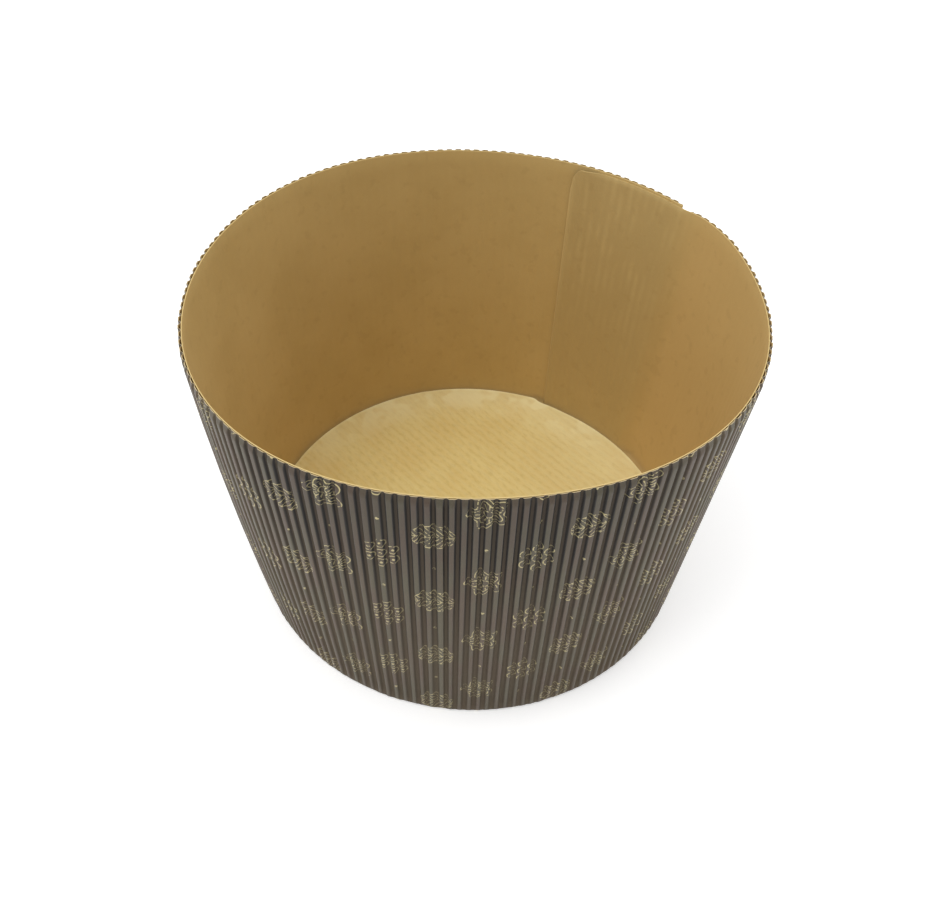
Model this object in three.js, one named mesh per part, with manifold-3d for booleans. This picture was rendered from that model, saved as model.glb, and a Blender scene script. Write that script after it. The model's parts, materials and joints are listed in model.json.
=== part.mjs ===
// A paper mold for baking a panettone: a round, slightly tapered cup glued up from
// single-face corrugated board, which is a smooth kraft liner with a fluted brown paper
// glued to it. The wall is one strip of that board, wound round once with its ends lapped
// and its foot folded inwards. The base is a disc of the same board, glued onto the fold.
// Sizes are in millimetres, +Z is up, and the mold stands on the plane z = 0.

import * as THREE from 'three';
import { mergeVertices } from 'three/addons/utils/BufferGeometryUtils.js';
import Module from 'manifold-3d';

const wasm = await Module();
wasm.setup();

// Outside of the mold, over the tips of the flutes
const RIM_DIAMETER = 170;
const FOOT_DIAMETER = 153;
const HEIGHT = 110;

// Board
const LINER_THICKNESS = 0.28;
const FLUTING_THICKNESS = 0.22;
const FLUTE_HEIGHT = 1.2;
const GLUE_LINE = 0.05;

// Wall strip
const WALL_FLUTES = 162;
const LAP_FLUTES = 13;
const LAP_GAP = 0.1;
const LAP_RAMP_FLUTES = 3;
const LAP_AZIMUTH = 67.4;

// Along the cut edge of the rim the flutes are pressed in
const RIM_PRESS = 0.8;
const RIM_PRESS_HEIGHT = 2.6;

// Inner end of the strip: its top edge lies a little low, with a long rounded corner
const FLAP_DROP = 0.8;
const FLAP_CORNER_WIDTH = 4.2;
const FLAP_CORNER_HEIGHT = 8.3;

// Foot of the strip, folded inwards and pressed flat
const FOLD_WIDTH = 10;
const FOLD_THICKNESS = 0.9;

// Base disc
const BASE_EDGE_CLEARANCE = 1.2;
const BASE_SEAT_GAP = 0.1;
const BASE_FLUTE_PITCH = 3.1;
const BASE_FLUTE_AZIMUTH = -46;

// The soft rim has sprung out of round: each lobe swells it by so much at that azimuth
const RIM_LOBES = [
  { count: 2, swell: 2.9, azimuth: 10 },
  { count: 3, swell: 0.8, azimuth: -13 },
  { count: 4, swell: 0.6, azimuth: -45 },
];
const RIM_SHIFT = 0.8;
const RIM_LEAN = 0.9;
const RIM_LEAN_AZIMUTH = 178;

// Smoothness of the facets
const FOLDS_PER_FLUTE = 4;
const LINER_FACETS_PER_FLUTE = 2;

// Sizes that follow
const BOARD_THICKNESS = FLUTE_HEIGHT + GLUE_LINE + LINER_THICKNESS;
const VALLEY_DEPTH = FLUTE_HEIGHT - FLUTING_THICKNESS;
const LAP_DEPTH = BOARD_THICKNESS + LAP_GAP;
const STRIP_FLUTES = WALL_FLUTES + LAP_FLUTES;
const FOLDED_EDGE = 0;
const FOLD = 1;
const PRESS_START = 2;
const RIM = 3;
const STRIP_ROWS = RIM;
const RIM_RADIUS = RIM_DIAMETER / 2;
const FOOT_RADIUS = FOOT_DIAMETER / 2;
const BASE_BOTTOM = FOLD_THICKNESS + BASE_SEAT_GAP;

const radians = THREE.MathUtils.degToRad;
const clamp = THREE.MathUtils.clamp;
const lerp = THREE.MathUtils.lerp;
const smoothstep = THREE.MathUtils.smoothstep;

const kraft = { color: 0xa88550, roughness: 0.85, metalness: 0 };
const brown = { color: 0x4a4136, roughness: 0.6, metalness: 0 };
const paleKraft = { color: 0xc8ac72, roughness: 0.85, metalness: 0 };

function mesh(name, geometry, look) {
  const piece = new THREE.Mesh(geometry, new THREE.MeshStandardMaterial(look));
  piece.name = name;
  return piece;
}

// Azimuth at a place along the strip, counted in flutes from its inner end. Seen from
// above the strip is wound clockwise.
function azimuthAt(flute) {
  return radians(LAP_AZIMUTH) - (flute / WALL_FLUTES) * 2 * Math.PI;
}

// How far the strip lies inside the outermost turn: a board's thickness under the lap,
// less at the pressed rim once past the flap's corner, then easing out to nothing.
function lapDepth(flute, height) {
  const flapTop = rimHeight(azimuthAt(flute)) - FLAP_DROP;
  const upPress = clamp((height - flapTop) / RIM_PRESS_HEIGHT + 1, 0, 1);
  const along = stripLength(flute);
  const pastCorner = smoothstep(along, FLAP_CORNER_WIDTH, 3 * FLAP_CORNER_WIDTH);
  const eased = 1 - smoothstep(flute, LAP_FLUTES, LAP_FLUTES + LAP_RAMP_FLUTES);
  return (LAP_DEPTH - RIM_PRESS * upPress * pastCorner) * eased;
}

// How much board the strip has inside it: none, until it nears the lap again and passes
// over its own inner end.
function boardInside(flute) {
  return LAP_DEPTH * smoothstep(flute, WALL_FLUTES - LAP_RAMP_FLUTES, WALL_FLUTES);
}

// Radius of the rim over the flute tips, with its lobes.
function rimRadius(azimuth) {
  const swell = (sum, lobe) =>
    sum + lobe.swell * Math.cos(lobe.count * (azimuth - radians(lobe.azimuth)));
  return RIM_LOBES.reduce(swell, RIM_RADIUS);
}

// Length of the strip's top edge from its inner end.
function stripLength(flute) {
  return (flute * 2 * Math.PI * RIM_RADIUS) / WALL_FLUTES;
}

// The rim leans a little to one side.
function rimHeight(azimuth) {
  return HEIGHT + RIM_LEAN * Math.cos(azimuth - radians(RIM_LEAN_AZIMUTH));
}

// Height of the strip's top edge: the inner end's edge drops along the lap and rounds off
// at its corner, a quarter of an ellipse.
function topHeight(flute) {
  const drop = FLAP_DROP * (1 - smoothstep(flute, LAP_FLUTES, LAP_FLUTES + LAP_RAMP_FLUTES));
  const past = 1 - Math.min(stripLength(flute) / FLAP_CORNER_WIDTH, 1);
  const corner = FLAP_CORNER_HEIGHT * (1 - Math.sqrt(1 - past * past));
  return rimHeight(azimuthAt(flute)) - drop - corner;
}

// A point of the wall's board. depth is measured inwards from the flute tips.
function wallPoint(flute, depth, row) {
  const azimuth = azimuthAt(flute);
  if (row === FOLDED_EDGE || row === FOLD) {
    const inward = depth + lapDepth(flute, 0);
    const layers = BOARD_THICKNESS + Math.max(lapDepth(flute, 0), boardInside(flute));
    const pressed = (FOLD_THICKNESS * inward) / layers;
    const radius = row === FOLD ? FOOT_RADIUS - inward : FOOT_RADIUS - FOLD_WIDTH;
    return polar(radius, azimuth, pressed);
  }
  const height = topHeight(flute) - (row === PRESS_START ? RIM_PRESS_HEIGHT : 0);
  const share = height / HEIGHT;
  const inward = depth + lapDepth(flute, height);
  const radius = lerp(FOOT_RADIUS, rimRadius(azimuth), share) - inward;
  const point = polar(radius, azimuth, height);
  point.x -= RIM_SHIFT * share;
  return point;
}

function polar(radius, azimuth, z) {
  return new THREE.Vector3(radius * Math.cos(azimuth), radius * Math.sin(azimuth), z);
}

// A sheet of paper is a thin box, cut into columns and rows and then bent point by point.
// place takes the column, the face (1 is outer or lower, 0 is inner or upper) and the row.
function bentSheet(columns, rows, place) {
  const geometry = new THREE.BoxGeometry(columns, 1, rows, columns, 1, rows);
  geometry.translate(columns / 2, 0.5, rows / 2);
  const position = geometry.getAttribute('position');
  for (let i = 0; i < position.count; i += 1) {
    const column = Math.round(position.getX(i));
    const face = Math.round(position.getY(i));
    const row = Math.round(position.getZ(i));
    const point = place(column, face, row);
    position.setXYZ(i, point.x, point.y, point.z);
  }
  return weld(geometry);
}

function weld(geometry) {
  geometry.deleteAttribute('normal');
  geometry.deleteAttribute('uv');
  const welded = mergeVertices(geometry);
  welded.computeVertexNormals();
  return welded;
}

// Flat-topped flutes have four folds each: two at the crest and two at the valley. The
// first fold lies half a fold's spacing past the middle of a crest.
function fluteAt(fold) {
  return (fold + 0.5) / FOLDS_PER_FLUTE;
}

function waveDepth(flute) {
  return Math.cos(2 * Math.PI * flute) > 0 ? 0 : VALLEY_DEPTH;
}

function wallFluting() {
  const columns = STRIP_FLUTES * FOLDS_PER_FLUTE - 1;
  const geometry = bentSheet(columns, STRIP_ROWS, (column, face, row) => {
    const flute = fluteAt(column);
    const press = row === RIM ? RIM_PRESS : 0;
    const depth = Math.max(waveDepth(flute), press) + (face === 1 ? 0 : FLUTING_THICKNESS);
    return wallPoint(flute, depth, row);
  });
  return mesh('wall_fluting', geometry, brown);
}

function wallLiner() {
  const columns = STRIP_FLUTES * LINER_FACETS_PER_FLUTE;
  const geometry = bentSheet(columns, STRIP_ROWS, (column, face, row) => {
    const flute = column / LINER_FACETS_PER_FLUTE;
    const depth = BOARD_THICKNESS - (face === 1 ? LINER_THICKNESS : 0);
    return wallPoint(flute, depth, row);
  });
  return mesh('wall_liner', geometry, kraft);
}

// The disc's edge follows the inside of the wall at its foot, and steps in at the lap.
function baseOutline() {
  const points = [];
  for (let flute = 0; flute < WALL_FLUTES; flute += 1) {
    const inward = BOARD_THICKNESS + lapDepth(flute, 0) + BASE_EDGE_CLEARANCE;
    const corner = polar(FOOT_RADIUS - inward, azimuthAt(flute), 0);
    points.push(new THREE.Vector2(corner.x, corner.y));
  }
  return new THREE.Shape(points.reverse());
}

function basePlate(bottom, thickness) {
  const options = { depth: thickness, bevelEnabled: false };
  return new THREE.ExtrudeGeometry(baseOutline(), options).translate(0, 0, bottom);
}

function baseLiner() {
  const bottom = BASE_BOTTOM + FLUTE_HEIGHT + GLUE_LINE;
  return mesh('base_liner', weld(basePlate(bottom, LINER_THICKNESS)), paleKraft);
}

// Straight flutes side by side, wide enough to cover the disc, then cut to its outline.
function baseFluting() {
  const reach = FOOT_RADIUS;
  const flutes = Math.ceil((2 * reach) / BASE_FLUTE_PITCH);
  const sheet = bentSheet(flutes * FOLDS_PER_FLUTE - 1, 1, (column, face, row) => {
    const flute = fluteAt(column);
    const across = (flute - flutes / 2) * BASE_FLUTE_PITCH;
    const up = waveDepth(flute) + (face === 1 ? 0 : FLUTING_THICKNESS);
    return new THREE.Vector3(across, lerp(-reach, reach, row), BASE_BOTTOM + up);
  });
  sheet.rotateZ(radians(BASE_FLUTE_AZIMUTH + 90));
  const plate = weld(basePlate(BASE_BOTTOM - GLUE_LINE, FLUTE_HEIGHT + 2 * GLUE_LINE));
  return mesh('base_fluting', common(sheet, plate), brown);
}

function toManifold(geometry) {
  const vertProperties = new Float32Array(geometry.getAttribute('position').array);
  const triVerts = new Uint32Array(geometry.index.array);
  return new wasm.Manifold(new wasm.Mesh({ numProp: 3, vertProperties, triVerts }));
}

// The part of two closed solids that both of them fill.
function common(first, second) {
  const solid = toManifold(first).intersect(toManifold(second)).getMesh();
  const geometry = new THREE.BufferGeometry();
  const position = new THREE.BufferAttribute(new Float32Array(solid.vertProperties), 3);
  geometry.setAttribute('position', position);
  geometry.setIndex(new THREE.BufferAttribute(new Uint32Array(solid.triVerts), 1));
  geometry.computeVertexNormals();
  return geometry;
}

const mold = new THREE.Group();
mold.add(wallFluting(), wallLiner(), baseFluting(), baseLiner());

// The origin is on the table, under the middle of the mold's overall width and depth.
const middle = new THREE.Box3().setFromObject(mold).getCenter(new THREE.Vector3());
mold.position.set(-middle.x, -middle.y, 0);

export default mold;
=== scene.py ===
# %% [markdown]
# # A paper mold for baking a panettone
# The mold is a round cup of single-face corrugated board: a smooth kraft liner inside and
# a brown, gold-printed fluted paper outside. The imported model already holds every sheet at
# its real size and place. Here each sheet is made again as a finer surface, with round
# flutes, pressed edges and papery finishes, inside the same outlines.

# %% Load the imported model
import json
import math

import bpy
import numpy as np
from mathutils import Matrix, Vector


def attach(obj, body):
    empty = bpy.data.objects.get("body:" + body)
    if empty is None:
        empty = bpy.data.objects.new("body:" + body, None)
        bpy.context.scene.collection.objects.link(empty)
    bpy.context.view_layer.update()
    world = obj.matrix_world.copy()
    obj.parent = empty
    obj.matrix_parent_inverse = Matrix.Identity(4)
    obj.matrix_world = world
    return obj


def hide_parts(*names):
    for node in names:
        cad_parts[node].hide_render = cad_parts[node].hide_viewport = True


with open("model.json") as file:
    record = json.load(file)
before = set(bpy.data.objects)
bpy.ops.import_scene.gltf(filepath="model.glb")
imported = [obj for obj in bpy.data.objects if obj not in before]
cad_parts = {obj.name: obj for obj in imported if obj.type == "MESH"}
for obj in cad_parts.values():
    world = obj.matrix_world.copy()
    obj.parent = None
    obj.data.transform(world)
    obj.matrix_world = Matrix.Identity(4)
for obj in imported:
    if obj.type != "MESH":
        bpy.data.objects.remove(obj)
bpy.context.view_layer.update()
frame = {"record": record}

# %% [markdown]
# ## Sizes
# Blender works in metres, so each size is written in millimetres times MM. The mold stands
# on z = 0. The middle of its foot isn't quite at the origin, because the soft rim has
# sprung out of round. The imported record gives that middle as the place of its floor.

# %% Driving sizes
MM = 0.001
TURN = 2 * math.pi

RIM_RADIUS = 85.0 * MM
FOOT_RADIUS = 76.5 * MM
HEIGHT = 110.0 * MM

LINER_THICKNESS = 0.28 * MM
FLUTING_THICKNESS = 0.22 * MM
FLUTE_HEIGHT = 1.2 * MM
GLUE_LINE = 0.05 * MM
BOARD = FLUTE_HEIGHT + GLUE_LINE + LINER_THICKNESS
VALLEY_DEPTH = FLUTE_HEIGHT - FLUTING_THICKNESS

WALL_FLUTES = 162
LAP_FLUTES = 13
LAP_RAMP_FLUTES = 3
LAP_DEPTH = BOARD + 0.1 * MM
LAP_AZIMUTH = math.radians(67.4)
STRIP_FLUTES = WALL_FLUTES + LAP_FLUTES

RIM_PRESS = 0.8 * MM
RIM_PRESS_HEIGHT = 2.6 * MM

FLAP_DROP = 0.8 * MM
FLAP_CORNER_WIDTH = 4.2 * MM
FLAP_CORNER_HEIGHT = 8.3 * MM

FOLD_WIDTH = 10.0 * MM
FOLD_THICKNESS = 0.9 * MM

BASE_BOTTOM = FOLD_THICKNESS + 0.1 * MM
BASE_TOP = BASE_BOTTOM + BOARD
BASE_CLEARANCE = 1.2 * MM
RIB_PITCH = 3.1 * MM
RIB_AZIMUTH = math.radians(-46)

RIM_LOBES = (
    (2, 2.9 * MM, math.radians(10)),
    (3, 0.8 * MM, math.radians(-13)),
    (4, 0.6 * MM, math.radians(-45)),
)
RIM_SHIFT = 0.8 * MM
RIM_LEAN = 0.9 * MM
RIM_LEAN_AZIMUTH = math.radians(178)

floor_mount = next(m for m in frame["record"]["mounts"] if m["name"] == "floor")
MIDDLE = np.array([floor_mount["pos_m"][0], floor_mount["pos_m"][1], 0.0])
print("middle of the foot in mm:", (MIDDLE / MM).round(3))

# %% [markdown]
# ## The wall as a surface of two parameters
# The wall is one strip of board wound round the cup. A point of it is told by how many
# flutes it lies from the strip's inner end, and by how far up it is: -1 at the inner edge
# of the folded foot, 0 at the fold and 1 at the top edge. A third number is its depth in
# the board. The same function then places the fluted paper and the liner, so that they
# nest as the real papers do. A smooth curve through the fold takes the place of a sharp
# corner, because paper doesn't crease to nothing.

# %% The wound strip
ROOM = 0.02 * MM
FOLD_SOFTNESS = 0.5 * MM
FOLD_SPREAD = 0.8
WALL_BOW = 1.2 * MM
BUMP = 1.4 * MM
BUMP_AZIMUTH = math.radians(27)
BUMP_WIDTH = math.radians(12)
CRUSH_HEIGHT = 30.0 * MM
LAP_CRUSH = 0.85 * MM
FLAP_END_FLUTES = 1.5


def ease(value, start, stop):
    """Smooth step: 0 before start, 1 after stop, with t * t * (3 - 2 t) between them."""
    t = np.clip((value - start) / (stop - start), 0, 1)
    return t * t * (3 - 2 * t)


def azimuth_at(flute):
    """The lap's azimuth, less a share of a full turn for each flute: the strip is clockwise."""
    return LAP_AZIMUTH - flute * TURN / WALL_FLUTES


def strip_length(flute):
    """Length of the rim from the strip's inner end: a share of its circle."""
    return flute * TURN * RIM_RADIUS / WALL_FLUTES


def rim_radius(azimuth):
    """The rim's radius plus one cosine for each lobe that swells it, and a soft bump, as
    the bell curve, where the outer end of the strip stands off."""
    lobes = [swell * np.cos(count * (azimuth - at)) for count, swell, at in RIM_LOBES]
    apart = np.remainder(azimuth - BUMP_AZIMUTH + math.pi, TURN) - math.pi
    bump = BUMP * np.exp(-((apart / BUMP_WIDTH) ** 2))
    return RIM_RADIUS + sum(lobes) + bump


def rim_height(azimuth):
    """The height of a circle that leans a little to one side: a cosine round the cup."""
    return HEIGHT + RIM_LEAN * np.cos(azimuth - RIM_LEAN_AZIMUTH)


def top_height(flute):
    """The height of the top edge: lower on the flap, whose corner is cut to a quarter of an
    ellipse."""
    drop = FLAP_DROP * (1 - ease(flute, LAP_FLUTES, LAP_FLUTES + LAP_RAMP_FLUTES))
    past = 1 - np.minimum(strip_length(flute) / FLAP_CORNER_WIDTH, 1)
    corner = FLAP_CORNER_HEIGHT * (1 - np.sqrt(1 - past * past))
    return rim_height(azimuth_at(flute)) - drop - corner


def near_rim(flute, height):
    """0 up the wall, easing to 1 over the last CRUSH_HEIGHT below the flap's top."""
    flap_top = rim_height(azimuth_at(flute)) - FLAP_DROP
    return ease(height, flap_top - CRUSH_HEIGHT, flap_top)


def on_flap(flute):
    """1 along the flap, easing to 0 just past it."""
    return 1 - ease(flute, LAP_FLUTES, LAP_FLUTES + FLAP_END_FLUTES)


def past_corner(flute):
    """0 at the flap's cut corner, easing to 1 past it."""
    return ease(strip_length(flute), FLAP_CORNER_WIDTH, 3 * FLAP_CORNER_WIDTH)


def flap_crush(flute, height):
    """How far the top of the flap is crushed flat: 1 at its top edge, past its corner."""
    return near_rim(flute, height) * past_corner(flute) * on_flap(flute)


def lap_depth(flute, height):
    """A board's thickness inside the outer turn along the lap, less towards the rim, where
    the flap is crushed, easing out to nothing past the lap, sooner at the rim."""
    near = near_rim(flute, height)
    lap_end = LAP_FLUTES + LAP_RAMP_FLUTES * (1 - 0.5 * near)
    crush = LAP_CRUSH * near * past_corner(flute)
    return (LAP_DEPTH - crush) * (1 - ease(flute, LAP_FLUTES, lap_end))


def board_inside(flute):
    """The thickness that lies inside the strip once it passes over its own inner end."""
    return LAP_DEPTH * ease(flute, WALL_FLUTES - LAP_RAMP_FLUTES, WALL_FLUTES)


def soft_positive(value, softness):
    """The larger of value and 0, rounded near 0: half of value plus the root of its square
    plus the softness squared."""
    return (value + np.sqrt(value * value + softness * softness)) / 2


def wall_point(flute, up, depth):
    """A point of the wall: from the fold it goes inwards along the foot where up is
    negative, and along a line to the rim where up is positive. The line bows outwards on
    the left, by four times s times 1 - s, where s is the share of the height. ROOM keeps
    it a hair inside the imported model's box."""
    azimuth = azimuth_at(flute)
    top = top_height(flute) - ROOM
    inward = depth + lap_depth(flute, np.maximum(up, 0) * top)
    layers = BOARD + np.maximum(lap_depth(flute, 0), board_inside(flute))
    low = FOLD_THICKNESS * (depth + lap_depth(flute, 0)) / layers
    flare = (rim_radius(azimuth) - FOOT_RADIUS) / HEIGHT
    slope = np.hypot(1, flare)
    way = np.where(up < 0, up * (FOLD_WIDTH - inward), up * (top - low) * slope)
    softness = FOLD_SOFTNESS + FOLD_SPREAD * depth
    height = low + soft_positive(way, softness) / slope
    radius = FOOT_RADIUS - ROOM - inward - soft_positive(-way, softness) + height * flare
    share = height / HEIGHT
    radius = radius + WALL_BOW * (1 - np.cos(azimuth)) * 2 * share * (1 - share)
    x = radius * np.cos(azimuth) - RIM_SHIFT * share
    return np.stack([x, radius * np.sin(azimuth), height], -1) + MIDDLE


widths = rim_radius(np.linspace(0, TURN, 721)) / MM
print("rim radius in mm: from", widths.min().round(1), "to", widths.max().round(1))

# %% [markdown]
# ## From grids to closed sheets
# A sheet of paper is two grids of points, one for each face, joined by narrow strips round
# their edges. Faces are found by counting: point (row, column) has number row * columns +
# column. Values that a finish needs, such as the place on the printed paper, are kept on
# the points as an attribute, so the finish follows the paper through every flute.

# %% Mesh helpers
SHARP_ANGLE = math.radians(50)


def mesh_object(name, points, faces, values=None, material=None):
    """Makes an object of points and faces, with its place in its mesh and smooth faces,
    sharp only where two faces meet at more than SHARP_ANGLE."""
    mesh = bpy.data.meshes.new(name)
    mesh.from_pydata(points.reshape(-1, 3).tolist(), [], faces)
    if values is not None:
        store = mesh.attributes.new("paper", "FLOAT_VECTOR", "POINT")
        store.data.foreach_set("vector", values.reshape(-1).astype(np.float32))
    mesh.polygons.foreach_set("use_smooth", np.ones(len(mesh.polygons), bool))
    mesh.set_sharp_from_angle(angle=SHARP_ANGLE)
    mesh.update()
    piece = bpy.data.objects.new(name, mesh)
    bpy.context.scene.collection.objects.link(piece)
    if material is not None:
        mesh.materials.append(material)
    print(name, "has", len(mesh.vertices), "points and", sum(len(f) - 2 for f in faces), "triangles")
    return piece


def quads(a, b, c, d):
    """Four arrays of point numbers, taken together as a list of four-sided faces."""
    return np.stack([a.ravel(), b.ravel(), c.ravel(), d.ravel()], 1).tolist()


def sheet_faces(rows, columns):
    """The faces of a closed sheet whose outer grid's points come first, then its inner's."""
    outer = np.arange(rows * columns).reshape(rows, columns)
    inner = outer + rows * columns
    faces = quads(outer[:-1, :-1], outer[1:, :-1], outer[1:, 1:], outer[:-1, 1:])
    faces += quads(inner[:-1, :-1], inner[:-1, 1:], inner[1:, 1:], inner[1:, :-1])
    faces += quads(outer[0, :-1], outer[0, 1:], inner[0, 1:], inner[0, :-1])
    faces += quads(outer[-1, 1:], outer[-1, :-1], inner[-1, :-1], inner[-1, 1:])
    faces += quads(outer[1:, 0], outer[:-1, 0], inner[:-1, 0], inner[1:, 0])
    faces += quads(outer[:-1, -1], outer[1:, -1], inner[1:, -1], inner[:-1, -1])
    return faces


def round_faces(rings, columns):
    """The faces of a closed form whose rings run out over its top, down its edge and back
    in below. The last two points are the middle of the top and of the bottom."""
    ring = np.arange(rings * columns).reshape(rings, columns)
    after = np.roll(ring, -1, axis=1)
    top_middle = rings * columns
    faces = quads(ring[:-1], ring[1:], after[1:], after[:-1])
    faces += [[top_middle, int(a), int(b)] for a, b in zip(ring[0], after[0])]
    faces += [[top_middle + 1, int(b), int(a)] for a, b in zip(ring[-1], after[-1])]
    return faces


# %% [markdown]
# ## Shader maths as expressions
# A procedural finish is mostly arithmetic on coordinates. Writing it as Python expressions
# keeps it readable: the class below wraps one socket, and each operator adds the Math node
# that does the sum.

# %% Expressions on sockets
class Number:
    """One output socket, used as a number in an expression."""

    def __init__(self, finish, socket):
        self.finish = finish
        self.socket = socket

    def math(self, operation, *others):
        inputs = dict(enumerate((self, *others)))
        return self.finish.node("ShaderNodeMath", {"operation": operation}, inputs)

    def swapped(self, operation, other):
        inputs = {0: other, 1: self}
        return self.finish.node("ShaderNodeMath", {"operation": operation}, inputs)

    def __add__(self, other):
        return self.math("ADD", other)

    def __sub__(self, other):
        return self.math("SUBTRACT", other)

    def __mul__(self, other):
        return self.math("MULTIPLY", other)

    def __truediv__(self, other):
        return self.math("DIVIDE", other)

    def __radd__(self, other):
        return self.swapped("ADD", other)

    def __rsub__(self, other):
        return self.swapped("SUBTRACT", other)

    def __rmul__(self, other):
        return self.swapped("MULTIPLY", other)

    def __neg__(self):
        return self.math("MULTIPLY", -1.0)

    def __abs__(self):
        return self.math("ABSOLUTE")

    def floor(self):
        return self.math("FLOOR")

    def fraction(self):
        return self.math("FRACT")

    def cosine(self):
        return self.math("COSINE")

    def sine(self):
        return self.math("SINE")

    def root(self):
        return self.math("SQRT")

    def at_least(self, other):
        return self.math("MAXIMUM", other)

    def at_most(self, other):
        return self.math("MINIMUM", other)

    def above(self, start, stop):
        """0 below start and 1 above stop, with a smooth step between them."""
        settings = {"interpolation_type": "SMOOTHSTEP"}
        inputs = {"Value": self, "From Min": start, "From Max": stop}
        return self.finish.node("ShaderNodeMapRange", settings, inputs)

    def within(self, half_width, softness):
        """1 where the number is nearer to 0 than half_width, and 0 past it."""
        return 1 - abs(self).above(half_width - softness, half_width + softness)


class Finish:
    """A material, or the world, that is built node by node."""

    def __init__(self, owner):
        self.owner = owner
        owner.use_nodes = True
        self.tree = owner.node_tree
        self.tree.nodes.clear()

    def node(self, kind, settings=None, inputs=None, output=0):
        """Adds a node: first its settings, or its ramp's stops, then its sockets."""
        made = self.tree.nodes.new(kind)
        for name, value in (settings or {}).items():
            setattr(made, name, value)
        for name, value in (inputs or {}).items():
            if isinstance(value, Number):
                self.tree.links.new(value.socket, made.inputs[name])
            else:
                made.inputs[name].default_value = value
        return Number(self, made.outputs[output]) if made.outputs else None

    def place(self):
        return self.node("ShaderNodeTexCoord", output="Object")

    def parts(self, vector):
        """A vector's three numbers."""
        return [self.node("ShaderNodeSeparateXYZ", None, {0: vector}, axis) for axis in "XYZ"]

    def paper(self):
        """The three values that the piece keeps on its points."""
        settings = {"attribute_name": "paper"}
        return self.parts(self.node("ShaderNodeAttribute", settings, output="Vector"))

    def joined(self, x, y, z=0.0):
        """A vector of three numbers."""
        return self.node("ShaderNodeCombineXYZ", None, {0: x, 1: y, 2: z})

    def stretched(self, vector, scale):
        """The vector, with each of its parts multiplied by its own scale."""
        settings = {"operation": "MULTIPLY"}
        return self.node("ShaderNodeVectorMath", settings, {0: vector, 1: scale})

    def noise(self, vector, scale, detail=2.0, roughness=0.5):
        inputs = {"Vector": vector, "Scale": scale, "Detail": detail, "Roughness": roughness}
        return self.node("ShaderNodeTexNoise", None, inputs)

    def mix(self, factor, first, second):
        """Colour first turning into colour second as factor goes from 0 to 1."""
        settings = {"data_type": "RGBA"}
        return self.node("ShaderNodeMix", settings, {0: factor, 6: first, 7: second}, 2)

    def bump(self, height, distance, strength=1.0):
        inputs = {"Height": height, "Distance": distance, "Strength": strength}
        return self.node("ShaderNodeBump", None, inputs)

    def surface(self, **inputs):
        """Ends the material in a Principled shader. A word's underscores stand for spaces."""
        named = {name.replace("_", " "): value for name, value in inputs.items()}
        shader = self.node("ShaderNodeBsdfPrincipled", None, named)
        self.node("ShaderNodeOutputMaterial", None, {"Surface": shader})
        return self.owner


def shade(red, green, blue):
    """A colour written as screen values from 0 to 255, turned into linear light."""
    screen = np.array([red, green, blue]) / 255
    linear = np.where(screen <= 0.04045, screen / 12.92, ((screen + 0.055) / 1.055) ** 2.4)
    return (*linear.tolist(), 1.0)


# %% [markdown]
# ## The finish of the fluted paper
# The outside is a dark brown paper with a faint gloss and small gold line ornaments. They
# are printed on the flat paper before it is fluted, so the drawing runs down into every
# valley and looks broken up from outside. The finish therefore draws in the flat paper's
# own coordinates, which each point of the sheet carries: how far along the paper it is,
# how far up, and whether it is on the printed face. The ornaments are plain ones: rosettes,
# leaves and rings of berries, in columns that each drop by a third of a repeat.

# %% Gold ornaments
REPEAT_WIDTH = 18.0
REPEAT_HEIGHT = 30.0
LINE = 0.16
LINE_BLUR = 0.08
ROSETTE_RADIUS = 6.2
LEAF_HALF_LENGTH = 7.4
LEAF_HALF_WIDTH = 4.6
VEIN_PITCH = 1.6
BERRY_CIRCLE = 4.3
BERRY_RADIUS = 1.6
DOT_RADIUS = 0.5


def rosette(x, y):
    """A closed line whose radius goes up and down five times a turn, with a smaller one
    inside it, a ring in the middle, and spokes between."""
    radius = (x * x * 0.7 + y * y).root()
    turn = y.math("ARCTAN2", x * 0.84)
    petals = 0.82 + 0.18 * (turn * 5).cosine()
    outline = (radius - ROSETTE_RADIUS * petals).within(LINE, LINE_BLUR)
    inner = (radius - ROSETTE_RADIUS * 0.72 * petals).within(LINE, LINE_BLUR)
    ring = (radius - ROSETTE_RADIUS * 0.2).within(LINE, LINE_BLUR)
    spokes = (turn * 15).cosine().above(0.4, 0.8)
    band = (radius - ROSETTE_RADIUS * 0.42).within(ROSETTE_RADIUS * 0.14, LINE_BLUR)
    return outline.at_least(inner).at_least(ring).at_least(spokes * band)


def leaf(x, y):
    """An ellipse that lies along x, with a stem along its middle and slanting veins."""
    across = abs(y)
    room = (1 - (x / LEAF_HALF_LENGTH) * (x / LEAF_HALF_LENGTH)).at_least(0.0)
    edge = LEAF_HALF_WIDTH * room.root()
    inside = (edge - across).above(0.0, LINE_BLUR)
    along = abs(x).within(LEAF_HALF_LENGTH, LINE_BLUR)
    outline = (edge - across).within(LINE * 1.3, LINE_BLUR) * along
    step = ((x - across * 0.9) / VEIN_PITCH).fraction() - 0.5
    veins = step.within(LINE / VEIN_PITCH, LINE_BLUR / VEIN_PITCH)
    stem = across.within(LINE, LINE_BLUR) * along
    return outline.at_least(veins * inside).at_least(stem)


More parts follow.
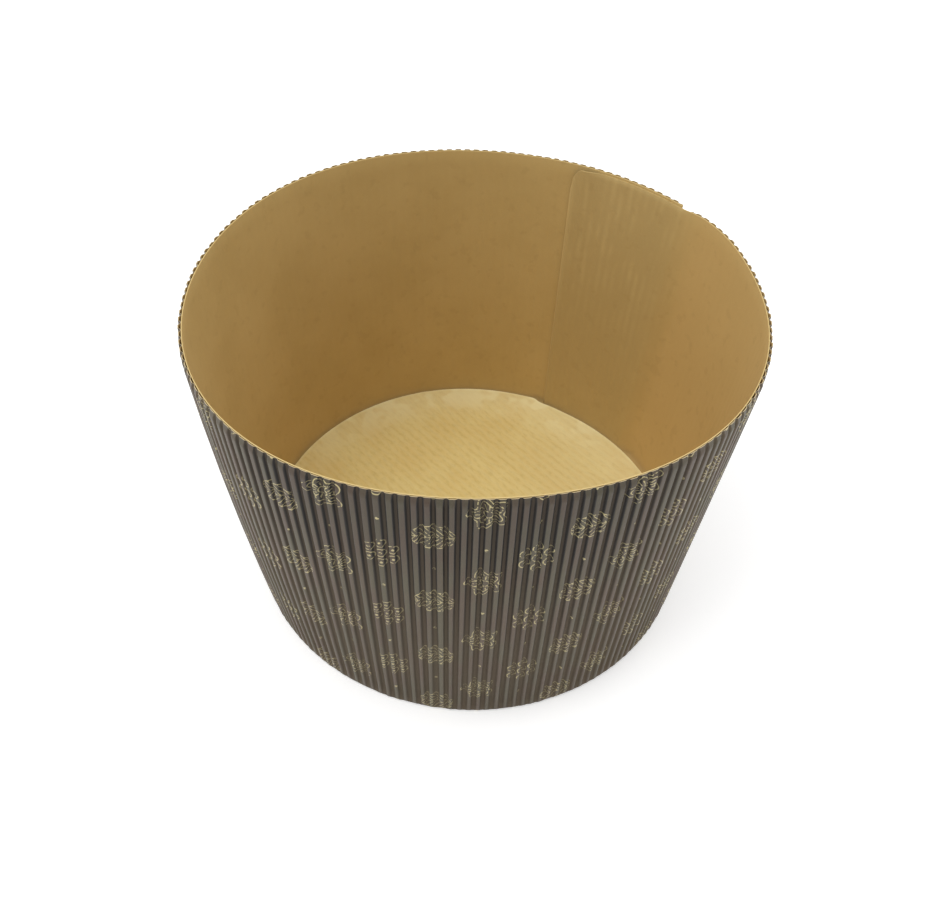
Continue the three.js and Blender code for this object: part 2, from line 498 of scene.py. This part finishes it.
def berries(x, y):
    """Six small rings round a seventh, each with a dot in it. One sixth of a turn is drawn
    and folded onto the others."""
    radius = (x * x * 0.8 + y * y).root()
    sixth = (y.math("ARCTAN2", x * 0.9) * (6 / TURN)).fraction() - 0.5
    angle = sixth * (TURN / 6)
    out = radius * angle.cosine() - BERRY_CIRCLE
    aside = radius * angle.sine()
    from_berry = (out * out + aside * aside).root().at_most(radius)
    dot = 1 - from_berry.above(DOT_RADIUS * 0.8, DOT_RADIUS * 0.8 + LINE_BLUR)
    return (from_berry - BERRY_RADIUS).within(LINE, LINE_BLUR).at_least(dot)


def gold_lines(along, up):
    """The ornaments in millimetres of flat paper: each column drops by a third of a repeat
    from the one before and holds the next kind of ornament."""
    column = (along / REPEAT_WIDTH).floor()
    third = (column / 3).fraction()
    x = ((along / REPEAT_WIDTH).fraction() - 0.5) * REPEAT_WIDTH
    y = ((up / REPEAT_HEIGHT + third).fraction() - 0.5) * REPEAT_HEIGHT
    first = 1 - third.above(0.1, 0.2)
    last = third.above(0.5, 0.6)
    motif = first * rosette(x, y) + last * berries(x, y) + (1 - first - last) * leaf(x, y)
    from_end = REPEAT_HEIGHT / 2 - abs(y)
    dots = 1 - (x * x + from_end * from_end).root().above(DOT_RADIUS, DOT_RADIUS + LINE_BLUR)
    return motif.at_least(dots)


# %% Printed paper
OLIVE_BROWN = shade(82, 75, 54)
RED_BROWN = shade(84, 67, 51)
# Painted shade for the front valleys, painted light for the other valleys, and painted shade for the
# sides of the flutes:
SHADED_VALLEY_BROWN = shade(70, 58, 44)
LIT_VALLEY_BROWN = shade(98, 85, 66)
PAINTED_SHADE_BROWN = shade(22, 16, 9)
GOLD = shade(200, 186, 136)
FIBRE = shade(124, 106, 78)
PALE_EDGE = shade(206, 186, 144)
PLAIN_BACK = shade(204, 176, 124)
FRONT_FROM = 46 * MM
FRONT_TO = 76 * MM
VALLEY_SHADING_WEIGHT = 0.75
GOLD_COVER = 0.88
BACK_COVER = 0.85


def fluted_paper(name, printed):
    """Brown paper with fibres, each flute a little greener or redder, smoother on its
    crests. The valleys are painted lighter than the crests, but darker at the front, more
    so towards the rim, and darkest on the sides of the flutes. The real paper most likely
    has one colour all round: this stands in for light and shade that the picture shows and
    the plain lamps don't give. Where printed is true there are gold lines, and the back is
    plain kraft. The kept face value is 0 on the back, and on the printed face it goes from
    1 at a crest to 2 at the bottom of a valley."""
    finish = Finish(bpy.data.materials.new(name))
    place = finish.place()
    along, up, face = finish.paper()
    tint = finish.noise(finish.joined(along * 0.12, up * 0.05), 1.0, 2.0)
    fibre = finish.noise(finish.stretched(place, (1.0, 1.0, 0.35)), 2600.0, 3.0, 0.6)
    front = (-finish.parts(place)[1]).above(FRONT_FROM, FRONT_TO)
    dim = front * (0.45 + 0.55 * up.above(20.0, 100.0))
    valley = face.above(1.1, 1.6)
    side = face.above(1.05, 1.3) * (1 - face.above(1.75, 1.97))
    colour = finish.mix(tint.above(0.35, 0.65), RED_BROWN, OLIVE_BROWN)
    colour = finish.mix(fibre.above(0.4, 0.8) * 0.2, colour, FIBRE)
    # Painted light and shade in the valleys: lighter at the sides and back, darker at the front.
    valley_light_and_shade = finish.mix(dim, LIT_VALLEY_BROWN, SHADED_VALLEY_BROWN)
    colour = finish.mix(valley * VALLEY_SHADING_WEIGHT, colour, valley_light_and_shade)
    # Painted shade on the sides of the flutes at the front, and on the whole paper at the front towards
    # the rim.
    dark = side * dim * dim * 0.95 + up.above(60.0, 108.0) * front * 0.3
    colour = finish.mix(dark, colour, PAINTED_SHADE_BROWN)
    roughness = 0.4 + fibre * 0.12 + valley * 0.3
    metal = 0.0
    if printed:
        inked = finish.noise(place, 1300.0, 2.0).above(0.38, 0.5)
        # The gold is painted fainter in the valleys: painted shade.
        gold = gold_lines(along, up) * face.above(0.7, 0.9) * inked * (1 - valley * 0.55)
        colour = finish.mix(gold * GOLD_COVER, colour, GOLD)
        colour = finish.mix((1 - face.above(0.3, 0.7)) * BACK_COVER, colour, PLAIN_BACK)
        roughness = roughness - gold * 0.08
        metal = gold * 0.3
    cut_edge = (face - 0.5).within(0.4, 0.05)
    colour = finish.mix(cut_edge, colour, PALE_EDGE)
    normal = finish.bump(fibre, 0.02 * MM, 0.6)
    return finish.surface(
        Base_Color=colour,
        Roughness=roughness,
        Metallic=metal,
        Specular_IOR_Level=0.45,
        Normal=normal,
    )


printed_brown = fluted_paper("printed_brown", True)
print("printed paper uses", len(printed_brown.node_tree.nodes), "nodes")

# %% [markdown]
# ## The fluted paper of the wall
# A flute is a wave with a broad soft crest, steep sides and a narrower valley floor. The
# grid has columns where the wave bends and few elsewhere. No two flutes are quite alike,
# so each gets its own small lean, width and height, and its own amount of crushing where
# the strip was cut at the rim. The random numbers are seeded, so they stay the same. On the
# flap this paper ends just below the liner, which is pinched against the outer turn.

# %% Wall fluting
CREST = 0.1
VALLEY = 0.95
ROUNDNESS = 0.2
FRONT_SPREAD = 0.2
FOOT_NARROWING = 0.25
COLUMN_PLACES = (0, 0.12, 0.19, 0.25, 0.31, 0.4, 0.5, 0.6, 0.69, 0.75, 0.81, 0.88)
PRESS_SOFTNESS = 0.06 * MM
FOOT_WAVE = 0.12
FOOT_RISE = 0.05
FLAP_FLAT = 0.75 * MM
FLAP_SHORT = 0.011
FRONT_PRESS = 0.5
chance = np.random.default_rng(162)
flute_lean = chance.normal(0, 0.045, STRIP_FLUTES + 2)
flute_spread = chance.normal(0, 0.08, STRIP_FLUTES + 2)
flute_loss = chance.uniform(0, 0.18, STRIP_FLUTES + 2) * MM
flute_press = chance.uniform(0.3, 0.6, STRIP_FLUTES + 2)


def row_spacing():
    """Rows close together at the fold and at the rim, and far apart up the wall."""
    fold = [-1, -0.6, -0.25, -0.1, -0.05, -0.02, 0, 0.008, 0.02, 0.04, 0.07]
    wall = [0.2, 0.4, 0.6, 0.8, 0.93]
    rim = [0.972, 0.98, 0.987, 0.994, 1]
    return np.array(fold + wall + rim)


def flute_wave(flute, spread):
    """A cosine from 0 at whole flutes to 1 between them, most of it eased to flat crests
    and valleys: the larger spread is, the broader the crest."""
    cosine = (1 - np.cos(TURN * flute)) / 2
    return (1 - ROUNDNESS) * ease(cosine, CREST + spread, VALLEY) + ROUNDNESS * cosine


def rim_share(up):
    """0 up the wall, easing to 1 over the last few millimetres, where the flutes were cut."""
    return ease(up, 1 - RIM_PRESS_HEIGHT / HEIGHT, 1)


def front_share(flute):
    """1 at the front of the mold, easing to 0 at its sides."""
    return ease(-np.sin(azimuth_at(flute)), 0.1, 0.7)


def nearest_flute(flute):
    """The number of the crest that each place is nearest to, which its random numbers use."""
    return np.clip(np.round(flute), 0, STRIP_FLUTES).astype(int)


def own_wave(flute, up):
    """The wave of each flute with its own spread. The crests are narrow near the foot. Up
    the front they get broader, and broader again at the rim."""
    broader = FRONT_SPREAD * (ease(up, 0.2, 0.9) + rim_share(up)) * front_share(flute)
    narrower = FOOT_NARROWING * (1 - ease(up, 0.05, 0.6))
    return flute_wave(flute, flute_spread[nearest_flute(flute)] + broader - narrower)


def wave_depth(flute, up):
    """Depth of the paper's outer face below the flute tips. The wave is shallower at the
    fold. At the rim the crests are pressed in, most of all at the front and at the strip's
    outer end: the deeper of wave and press counts. The top of the flap is crushed flat."""
    nearest = nearest_flute(flute)
    wave = own_wave(flute, up) * VALLEY_DEPTH
    wave = wave * (FOOT_WAVE + (1 - FOOT_WAVE) * ease(up, 0, FOOT_RISE))
    closing = rim_share(up) * (flute_press[nearest] + FRONT_PRESS * front_share(flute))
    end = ease(flute, STRIP_FLUTES - 1.3, STRIP_FLUTES)
    press = np.maximum(RIM_PRESS * np.maximum(closing, end), flute_loss[nearest])
    depth = press + soft_positive(wave - press, PRESS_SOFTNESS)
    return depth + (FLAP_FLAT - depth) * flap_crush(flute, up * top_height(flute))


def paper_length(flute):
    """How far along the flat paper each column lies, in millimetres: the running sum of
    the steps along the wave."""
    step_deep = np.diff(wave_depth(flute, np.full_like(flute, 0.5)))
    steps = np.hypot(np.diff(strip_length(flute)), step_deep)
    return np.concatenate([[0], np.cumsum(steps)]) / MM


flute = (np.arange(STRIP_FLUTES)[:, None] + COLUMN_PLACES).ravel()
flute = np.append(flute, STRIP_FLUTES)
up = row_spacing()
flute_grid, up_grid = np.meshgrid(flute, up)
nearest = nearest_flute(flute)
in_crest = np.cos(math.pi * (flute - np.round(flute))) ** 2
sway = np.sin(2.2 * up[:, None] + nearest)
leaned = np.clip(flute_grid + flute_lean[nearest] * in_crest * sway, 0, STRIP_FLUTES)
outer_depth = wave_depth(flute_grid, up_grid)
cut_up = up_grid * (1 - FLAP_SHORT * on_flap(flute_grid))
outer = wall_point(leaned, cut_up, outer_depth)
inner = wall_point(leaned, cut_up, outer_depth + FLUTING_THICKNESS)
length_grid = np.broadcast_to(paper_length(flute), flute_grid.shape)
height_grid = np.where(up_grid < 0, up_grid * FOLD_WIDTH, up_grid * HEIGHT) / MM
printed_face = np.stack([length_grid, height_grid, 1 + own_wave(flute_grid, up_grid)], -1)
plain_face = printed_face * (1, 1, 0)
wall_fluting = mesh_object(
    "wall_paper_fluted",
    np.stack([outer, inner]),
    sheet_faces(*flute_grid.shape),
    np.stack([printed_face, plain_face]),
    printed_brown,
)
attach(wall_fluting, "root")
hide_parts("wall_fluting")

# %% [markdown]
# ## The kraft liner
# The inside of the wall is smooth kraft paper. It is not perfectly smooth: the flutes behind it show as
# a faint washboard, most of all where two boards lie on each other at the lap, and pale stripes are
# painted along it as painted light. Its cut edge at the top is paler than its face. The paper is cloudy
# and full of short fibres. It is painted a little greyer along the lap and warmer past it: painted
# shade where two boards let less light through, and painted light where one does.

# %% Kraft finish
KRAFT = shade(192, 163, 104)
KRAFT_DEEP = shade(184, 155, 96)
KRAFT_DENT = shade(160, 132, 78)
KRAFT_LAP_SHADE = shade(176, 151, 98)
KRAFT_WARM = shade(196, 162, 102)
KRAFT_LOW = shade(214, 184, 122)
KRAFT_CUT = shade(222, 196, 134)


def kraft_paper():
    """Cloudy tan with fibres: greyer along the lap, warmer past it, paler low down and towards the rim,
    and palest at the cut edge, most of all at the front. The grey along the lap is painted shade, where
    two boards let less light through than one, and the warmth past it is painted light. The low
    paleness, the front edge, a pale band along the flap's side edge and pale stripes along the
    washboard's ribs are painted light too."""
    finish = Finish(bpy.data.materials.new("kraft_inside"))
    place = finish.place()
    flute, up, edge = finish.paper()
    cloud = finish.noise(place, 28.0, 4.0, 0.6)
    fibre = finish.noise(finish.stretched(place, (1.0, 1.0, 0.5)), 1800.0, 4.0, 0.65)
    colour = finish.mix(cloud.above(0.3, 0.7), KRAFT_DEEP, KRAFT)
    lap = 1 - flute.above(LAP_FLUTES - 2, LAP_FLUTES + 3)
    # Painted shade: greyer along the lap, where two boards let less light through.
    colour = finish.mix(lap * 0.6, colour, KRAFT_LAP_SHADE)
    # Painted light: warmer past the lap, where the light shines through one board.
    warm = flute.above(LAP_FLUTES, LAP_FLUTES + 4) * (1 - flute.above(32, 62))
    colour = finish.mix(warm * 0.6, colour, KRAFT_WARM)
    low = 1 - up.above(0.02, 0.45)
    colour = finish.mix(low * (1 - lap * 0.7) * 0.12, colour, KRAFT_LOW)
    uneven = finish.noise(finish.stretched(place, (1.0, 1.0, 0.5)), 170.0, 2.0).above(0.35, 0.7)
    ribs = (0.5 + (flute * TURN).cosine() * 0.5) * (0.15 + 0.85 * lap * up.above(0.3, 0.8))
    # Painted light: pale stripes along the washboard's ribs.
    colour = finish.mix(ribs * uneven * 0.18, colour, KRAFT_CUT)
    # Painted highlight: a pale band along the flap's side edge.
    flap_edge_highlight = lap * (1 - flute.above(0.1, 0.9)) * up.above(0.2, 0.8)
    rim = up.above(0.945, 1.0) * (0.2 - lap * 0.14)
    colour = finish.mix(rim + flap_edge_highlight * 0.2, colour, KRAFT_CUT)
    dents = finish.noise(place, 260.0, 2.0).above(0.58, 0.7)
    colour = finish.mix(dents * 0.15, colour, KRAFT_DENT)
    colour = finish.mix((fibre - 0.5) * 0.3, colour, KRAFT_CUT)
    front = (-finish.parts(place)[1]).above(30 * MM, 70 * MM)
    edge_shade = edge.above(0.4, 0.6) * (1 - lap * 0.45) * (0.5 + 0.5 * front)
    colour = finish.mix(edge_shade, colour, KRAFT_CUT)
    normal = finish.bump(fibre + ribs * uneven * 0.5 - dents, 0.03 * MM, 0.5)
    return finish.surface(Base_Color=colour, Roughness=0.78 + cloud * 0.1, Normal=normal)


kraft_inside = kraft_paper()

# %% Wall liner
LINER_COLUMNS_PER_FLUTE = 6
WASHBOARD = 0.02 * MM
FLAP_PRESS = 0.85 * MM
FLAP_LOSS = 0.2 * MM
FLAP_PINCH = 0.3 * MM
CUT_EDGE_SHARE = 0.004


def liner_depth(flute):
    """Depth of the liner's inner face: the board's thickness, less a faint cosine for the
    flutes behind it, twice as strong along the lap. The flap's side edge is pressed."""
    lap = 1 - ease(flute, LAP_FLUTES, LAP_FLUTES + 2)
    washboard = WASHBOARD * (1 + lap) * (1 + np.cos(TURN * flute)) / 2
    return BOARD - washboard - FLAP_PRESS * (1 - ease(flute, 0, 0.4))


flute = np.linspace(0, STRIP_FLUTES, STRIP_FLUTES * LINER_COLUMNS_PER_FLUTE + 1)
up = np.concatenate([row_spacing()[:-1], [1 - CUT_EDGE_SHARE, 1.0]])
flute_grid, up_grid = np.meshgrid(flute, up)
crushed = flap_crush(flute_grid, up_grid * top_height(flute_grid))
pinched = ease(up_grid, 1 - FLAP_SHORT, 1)
inner_depth = liner_depth(flute_grid) - (FLAP_LOSS + FLAP_PINCH * pinched) * crushed
outer = wall_point(flute_grid, up_grid, inner_depth - LINER_THICKNESS + WASHBOARD)
inner = wall_point(flute_grid, up_grid, inner_depth)
cut = np.maximum(ease(up_grid, 1 - CUT_EDGE_SHARE, 1), 1 - ease(flute_grid, 0, 0.12))
face = np.stack([flute_grid, up_grid, cut], -1)
wall_liner = mesh_object(
    "wall_paper_liner",
    np.stack([outer, inner]),
    sheet_faces(*flute_grid.shape),
    np.stack([face, face]),
    kraft_inside,
)
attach(wall_liner, "root")
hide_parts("wall_liner")

# %% [markdown]
# ## The base disc
# The floor of the mold is a disc of the same board, pale side up. Its margin lies on the folded foot
# and the rest sinks a little between, so a faint ring shows, and the margin is painted paler as well:
# painted light. The straight flutes under it show as diagonal ribs, with painted light along their
# crests. The disc is a profile carried round: rings run out over the top, down the cut edge and back in
# below. Its edge follows the wall and steps in at the lap.

# %% Base finish
BASE_KRAFT = shade(236, 215, 144)
BASE_DEEP = shade(231, 205, 131)
BASE_PALE = shade(255, 246, 196)
BASE_SHADE = shade(206, 182, 110)


def base_paper():
    """Pale kraft, paler at its margin in patches, most of all at the back, and paler to the right:
    painted light. It has clouds, fibres and broken streaks: a wave across the straight ribs times a
    noise drawn out along them, the ribs painted paler along their crests as painted light. The sheet
    carries its share of the radius and its place across and along the ribs."""
    finish = Finish(bpy.data.materials.new("kraft_base"))
    place = finish.place()
    share, across, along = finish.paper()
    x, y = finish.parts(place)[:2]
    back = y.above(15 * MM, 70 * MM)
    streak = finish.noise(finish.joined(across, along * 0.35), 0.9, 3.0, 0.6)
    cloud = finish.noise(place, 45.0, 3.0, 0.6)
    fibre = finish.noise(place, 1600.0, 4.0, 0.65)
    ribs = (across * (TURN / (RIB_PITCH / MM))).cosine() * (0.3 + 0.7 * streak.above(0.3, 0.7))
    colour = finish.mix(cloud.above(0.3, 0.7), BASE_DEEP, BASE_KRAFT)
    colour = finish.mix(streak.above(0.4, 0.75) * 0.42, colour, BASE_SHADE)
    # Painted light: the ribs paler along their crests and less pale between them, and the right side
    # paler.
    colour = finish.mix(0.06 + ribs * 0.1 + x.above(0.0, 60 * MM) * 0.22, colour, BASE_PALE)
    crumple = finish.noise(place, 150.0, 1.0).above(0.42, 0.58)
    # Painted light: a pale margin in patches, most of all at the back.
    margin_light = share.above(0.74, 0.96) * (0.15 + 0.55 * back) * (0.45 + 0.55 * crumple)
    colour = finish.mix(margin_light + share.above(0.98, 1.0) * 0.3, colour, BASE_PALE)
    colour = finish.mix((fibre - 0.5) * 0.4, colour, BASE_PALE)
    normal = finish.bump(fibre + streak + ribs * 0.5, 0.06 * MM, 0.7)
    return finish.surface(Base_Color=colour, Roughness=0.72 + cloud * 0.1, Normal=normal)


kraft_base = base_paper()

# %% Base top
RINGS = 110
EDGE_COLUMNS_PER_FLUTE = 3
EDGE_COLUMNS = WALL_FLUTES * EDGE_COLUMNS_PER_FLUTE
DISH = 0.45 * MM
RIB_RELIEF = 0.03 * MM
KINK_RISE = 0.5 * MM
KINK_WIDTH = 7.0 * MM
CREASES = (
    (math.radians(104), 66 * MM, 9 * MM, 1.3 * MM, 0.4 * MM),
    (math.radians(98), 61 * MM, 6 * MM, 1.2 * MM, 0.35 * MM),
    (math.radians(52), 66 * MM, 7 * MM, 1.2 * MM, 0.3 * MM),
    (math.radians(196), 64 * MM, 8 * MM, 1.4 * MM, 0.25 * MM),
)


def base_edge(flute):
    """The disc's radius: the wall's inner face at its foot, less a clearance. It steps in
    just before the lap and comes out again slowly, well past it."""
    on_lap = np.maximum(1 - ease(flute, 4, 30), ease(flute, WALL_FLUTES - 1.6, WALL_FLUTES))
    return FOOT_RADIUS - BOARD - BASE_CLEARANCE - LAP_DEPTH * on_lap


def across_ribs(x, y):
    """How far a point lies from the rib through the middle."""
    return y * math.cos(RIB_AZIMUTH) - x * math.sin(RIB_AZIMUTH)


def along_ribs(x, y):
    """How far a point lies along its rib."""
    return x * math.cos(RIB_AZIMUTH) + y * math.sin(RIB_AZIMUTH)


def base_height(x, y, radius):
    """Height of the disc's top above its flat level: it dips inside the foot's fold, rises
    and falls by a cosine across the ribs, lifts in a soft bump at the lap, and has a few
    short creases along the ribs, each a bell curve that is long one way."""
    fold_edge = FOOT_RADIUS - FOLD_WIDTH
    height = -DISH * (1 - ease(radius, fold_edge - 12 * MM, fold_edge))
    height = height + RIB_RELIEF * (np.cos(TURN * across_ribs(x, y) / RIB_PITCH) - 1) / 2
    lap_x = base_edge(0) * math.cos(LAP_AZIMUTH)
    lap_y = base_edge(0) * math.sin(LAP_AZIMUTH)
    from_lap = np.hypot(x - lap_x, y - lap_y)
    height = height + KINK_RISE * np.exp(-((from_lap / KINK_WIDTH) ** 2))
    for azimuth, out, length, width, rise in CREASES:
        crease_x = x - out * math.cos(azimuth)
        crease_y = y - out * math.sin(azimuth)
        far = np.hypot(across_ribs(crease_x, crease_y) / width, along_ribs(crease_x, crease_y) / length)
        height = height + rise * np.exp(-far * far)
    return height


flute = np.arange(EDGE_COLUMNS) / EDGE_COLUMNS_PER_FLUTE
azimuth = azimuth_at(flute)
share = np.concatenate([np.linspace(0, 1, RINGS + 1)[1:], [1, 0.9, 0.5]])
radius = share[:, None] * base_edge(flute)
x = radius * np.cos(azimuth)
y = radius * np.sin(azimuth)
level = base_height(x, y, radius) + BASE_TOP
level[RINGS:] -= LINER_THICKNESS
middle_level = base_height(np.zeros(1), np.zeros(1), np.zeros(1))[0] + BASE_TOP
points = np.concatenate([
    np.stack([x, y, level], -1).reshape(-1, 3),
    [[0, 0, middle_level], [0, 0, middle_level - LINER_THICKNESS]],
]) + MIDDLE
from_middle = (points - MIDDLE) / MM
values = np.stack([
    np.append(np.repeat(share, EDGE_COLUMNS), [0, 0]),
    across_ribs(from_middle[:, 0], from_middle[:, 1]),
    along_ribs(from_middle[:, 0], from_middle[:, 1]),
], -1)
base_liner = mesh_object(
    "base_paper_liner",
    points,
    round_faces(len(share), EDGE_COLUMNS),
    values,
    kraft_base,
)
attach(base_liner, "root")
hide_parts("base_liner")

# %% [markdown]
# ## Under the base
# From below the disc shows its own fluted paper, plain brown, inside the ring of the
# folded foot. It is a straight wave, cut round: at each place across the flutes, the paper
# is as long as a chord of the circle there.

# %% Base fluting
base_brown = fluted_paper("plain_brown", False)
BASE_CUT_SHORT = 0.3 * MM
BASE_CUT_RADIUS = FOOT_RADIUS - BOARD - LAP_DEPTH - BASE_CLEARANCE - BASE_CUT_SHORT
BASE_ROWS = 14
BASE_COLUMNS_PER_FLUTE = 10
END_SHARE = 0.996

reach = BASE_CUT_RADIUS * END_SHARE
flutes = 2 * reach / RIB_PITCH
across = np.linspace(-reach, reach, int(flutes * BASE_COLUMNS_PER_FLUTE))
chord = np.sqrt(BASE_CUT_RADIUS * BASE_CUT_RADIUS - across * across)
across_grid, share_grid = np.meshgrid(across, np.linspace(-1, 1, BASE_ROWS))
along_grid = share_grid * chord
wave = flute_wave(across_grid / RIB_PITCH, 0)
x = along_grid * math.cos(RIB_AZIMUTH) - across_grid * math.sin(RIB_AZIMUTH)
y = along_grid * math.sin(RIB_AZIMUTH) + across_grid * math.cos(RIB_AZIMUTH)
sink = base_height(x, y, np.hypot(x, y))
low = BASE_BOTTOM + wave * VALLEY_DEPTH + np.minimum(sink, 0)
lower = np.stack([x, y, low], -1) + MIDDLE
upper = lower + (0, 0, FLUTING_THICKNESS)
base_fluting = mesh_object(
    "base_paper_fluted",
    np.stack([upper, lower]),
    sheet_faces(*across_grid.shape),
    np.zeros((2, *lower.shape)),
    base_brown,
)
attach(base_fluting, "root")
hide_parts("base_fluting")

# %% [markdown]
# ## Floor, light and camera
# The mold stands on a plain white table in soft light. The floor takes the mold's shadow.
# To a camera it glows a little as well, so that it reaches white without more light on
# the mold. The world is white to the camera for the same reason.

# %% Floor and world
FLOOR_HALF = 3.0
FLOOR_DROP = 0.02 * MM


def floor_finish():
    """White paint. Camera, mirror and glass rays see it whiter, with a faint glow."""
    finish = Finish(bpy.data.materials.new("white_floor"))
    kinds = ("Camera", "Glossy", "Transmission")
    rays = [finish.node("ShaderNodeLightPath", None, None, f"Is {kind} Ray") for kind in kinds]
    seen = rays[0].at_least(rays[1]).at_least(rays[2])
    plain = finish.node("ShaderNodeBsdfDiffuse", None, {"Color": (0.88, 0.88, 0.88, 1.0)})
    whiter = finish.node("ShaderNodeBsdfDiffuse", None, {"Color": (1.0, 1.0, 1.0, 1.0)})
    glow = finish.node("ShaderNodeEmission", None, {"Strength": 0.27})
    both = finish.node("ShaderNodeAddShader", None, {0: whiter, 1: glow})
    shown = finish.node("ShaderNodeMixShader", None, {0: seen, 1: plain, 2: both})
    finish.node("ShaderNodeOutputMaterial", None, {"Surface": shown})
    return finish.owner


corners = np.array([[-1, -1], [1, -1], [1, 1], [-1, 1]]) * FLOOR_HALF
floor_points = np.column_stack([corners, np.full(4, -FLOOR_DROP)])
table = mesh_object("table", floor_points, [[0, 1, 2, 3]], None, floor_finish())

WORLD_LIGHT = 0.75
WHITE = (1.0, 1.0, 1.0, 1.0)
studio = Finish(bpy.data.worlds.new("studio"))
bpy.context.scene.world = studio.owner
to_camera = studio.node("ShaderNodeLightPath", output="Is Camera Ray")
room = studio.node("ShaderNodeBackground", None, {"Color": WHITE, "Strength": WORLD_LIGHT})
white = studio.node("ShaderNodeBackground", None, {"Color": WHITE, "Strength": 1.0})
mixed = studio.node("ShaderNodeMixShader", None, {0: to_camera, 1: room, 2: white})
studio.node("ShaderNodeOutputWorld", None, {"Surface": mixed})

# %% Lamps


def softbox(name, place, size, watts):
    """A square area lamp that faces the middle of the mold."""
    lamp = bpy.data.lights.new(name, "AREA")
    lamp.size = size
    lamp.energy = watts
    holder = bpy.data.objects.new(name, lamp)
    holder.location = place
    aim = Vector((0, 0, HEIGHT / 2)) - Vector(place)
    holder.rotation_euler = aim.to_track_quat("-Z", "Y").to_euler()
    bpy.context.scene.collection.objects.link(holder)
    return holder


softbox("key", (-0.5, -0.2, 1.1), 0.7, 5.0)
softbox("fill", (0.7, 0.5, 0.9), 0.8, 3.0)

# %% [markdown]
# ## The camera
# The camera stands in front of the mold and looks down at it. The distance, the height
# angle and three small turns were found by laying circles of the mold's size over the
# outlines in the picture. A lens of 40.4 mm on a 36 mm sensor gives the same perspective.

# %% Camera
PICTURE_WIDTH = 927
FOCAL_PIXELS = 1040
SENSOR = 36.0
DISTANCE = 350.16 * MM
ELEVATION = 0.7891
PAN = -0.0082
TILT = 0.0355
ROLL = -0.0451
AIM_HEIGHT = 55.0 * MM

camera_data = bpy.data.cameras.new("camera")
camera_data.sensor_fit = "HORIZONTAL"
camera_data.sensor_width = SENSOR
camera_data.lens = FOCAL_PIXELS * SENSOR / PICTURE_WIDTH
camera_data.clip_start = 0.01
camera = bpy.data.objects.new("camera", camera_data)
offset = DISTANCE * np.array([0, -math.cos(ELEVATION), math.sin(ELEVATION)])
place = MIDDLE + (0, 0, AIM_HEIGHT) + offset
forward = Vector(-offset).normalized()
right = Vector((1, 0, 0))
upward = right.cross(forward)
turns = Matrix.Rotation(ROLL, 3, "Z") @ Matrix.Rotation(PAN, 3, "Y") @ Matrix.Rotation(TILT, 3, "X")
view = turns @ Matrix((right, upward, -forward))
camera.matrix_world = Matrix.Translation(place) @ view.transposed().to_4x4()
bpy.context.scene.collection.objects.link(camera)
bpy.context.scene.camera = camera
bpy.context.scene.view_settings.view_transform = "Standard"
